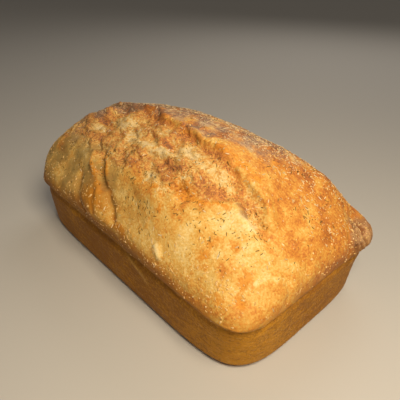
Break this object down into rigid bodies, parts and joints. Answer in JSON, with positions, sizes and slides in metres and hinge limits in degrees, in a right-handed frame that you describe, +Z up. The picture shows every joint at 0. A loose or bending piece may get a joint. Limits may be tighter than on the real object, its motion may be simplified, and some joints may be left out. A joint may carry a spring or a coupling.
{
  "type": "sourdough loaf",
  "caption": "Tin-baked sourdough loaf with straight sides, a domed crust torn open along one side of its crest, and a dusting of dried herbs.",
  "frame": {"origin": "middle of the flat base, on the plane the loaf rests on", "axes": "+Z up; +X along the loaf towards its lower end; the crust is torn open on the -Y side of the crest"},
  "size_m": [0.2252, 0.1333, 0.0991],
  "materials": {
    "crust": "matte"
  },
  "bodies": {
    "root": {"loaf": "crust"}
  },
  "joints": []
}
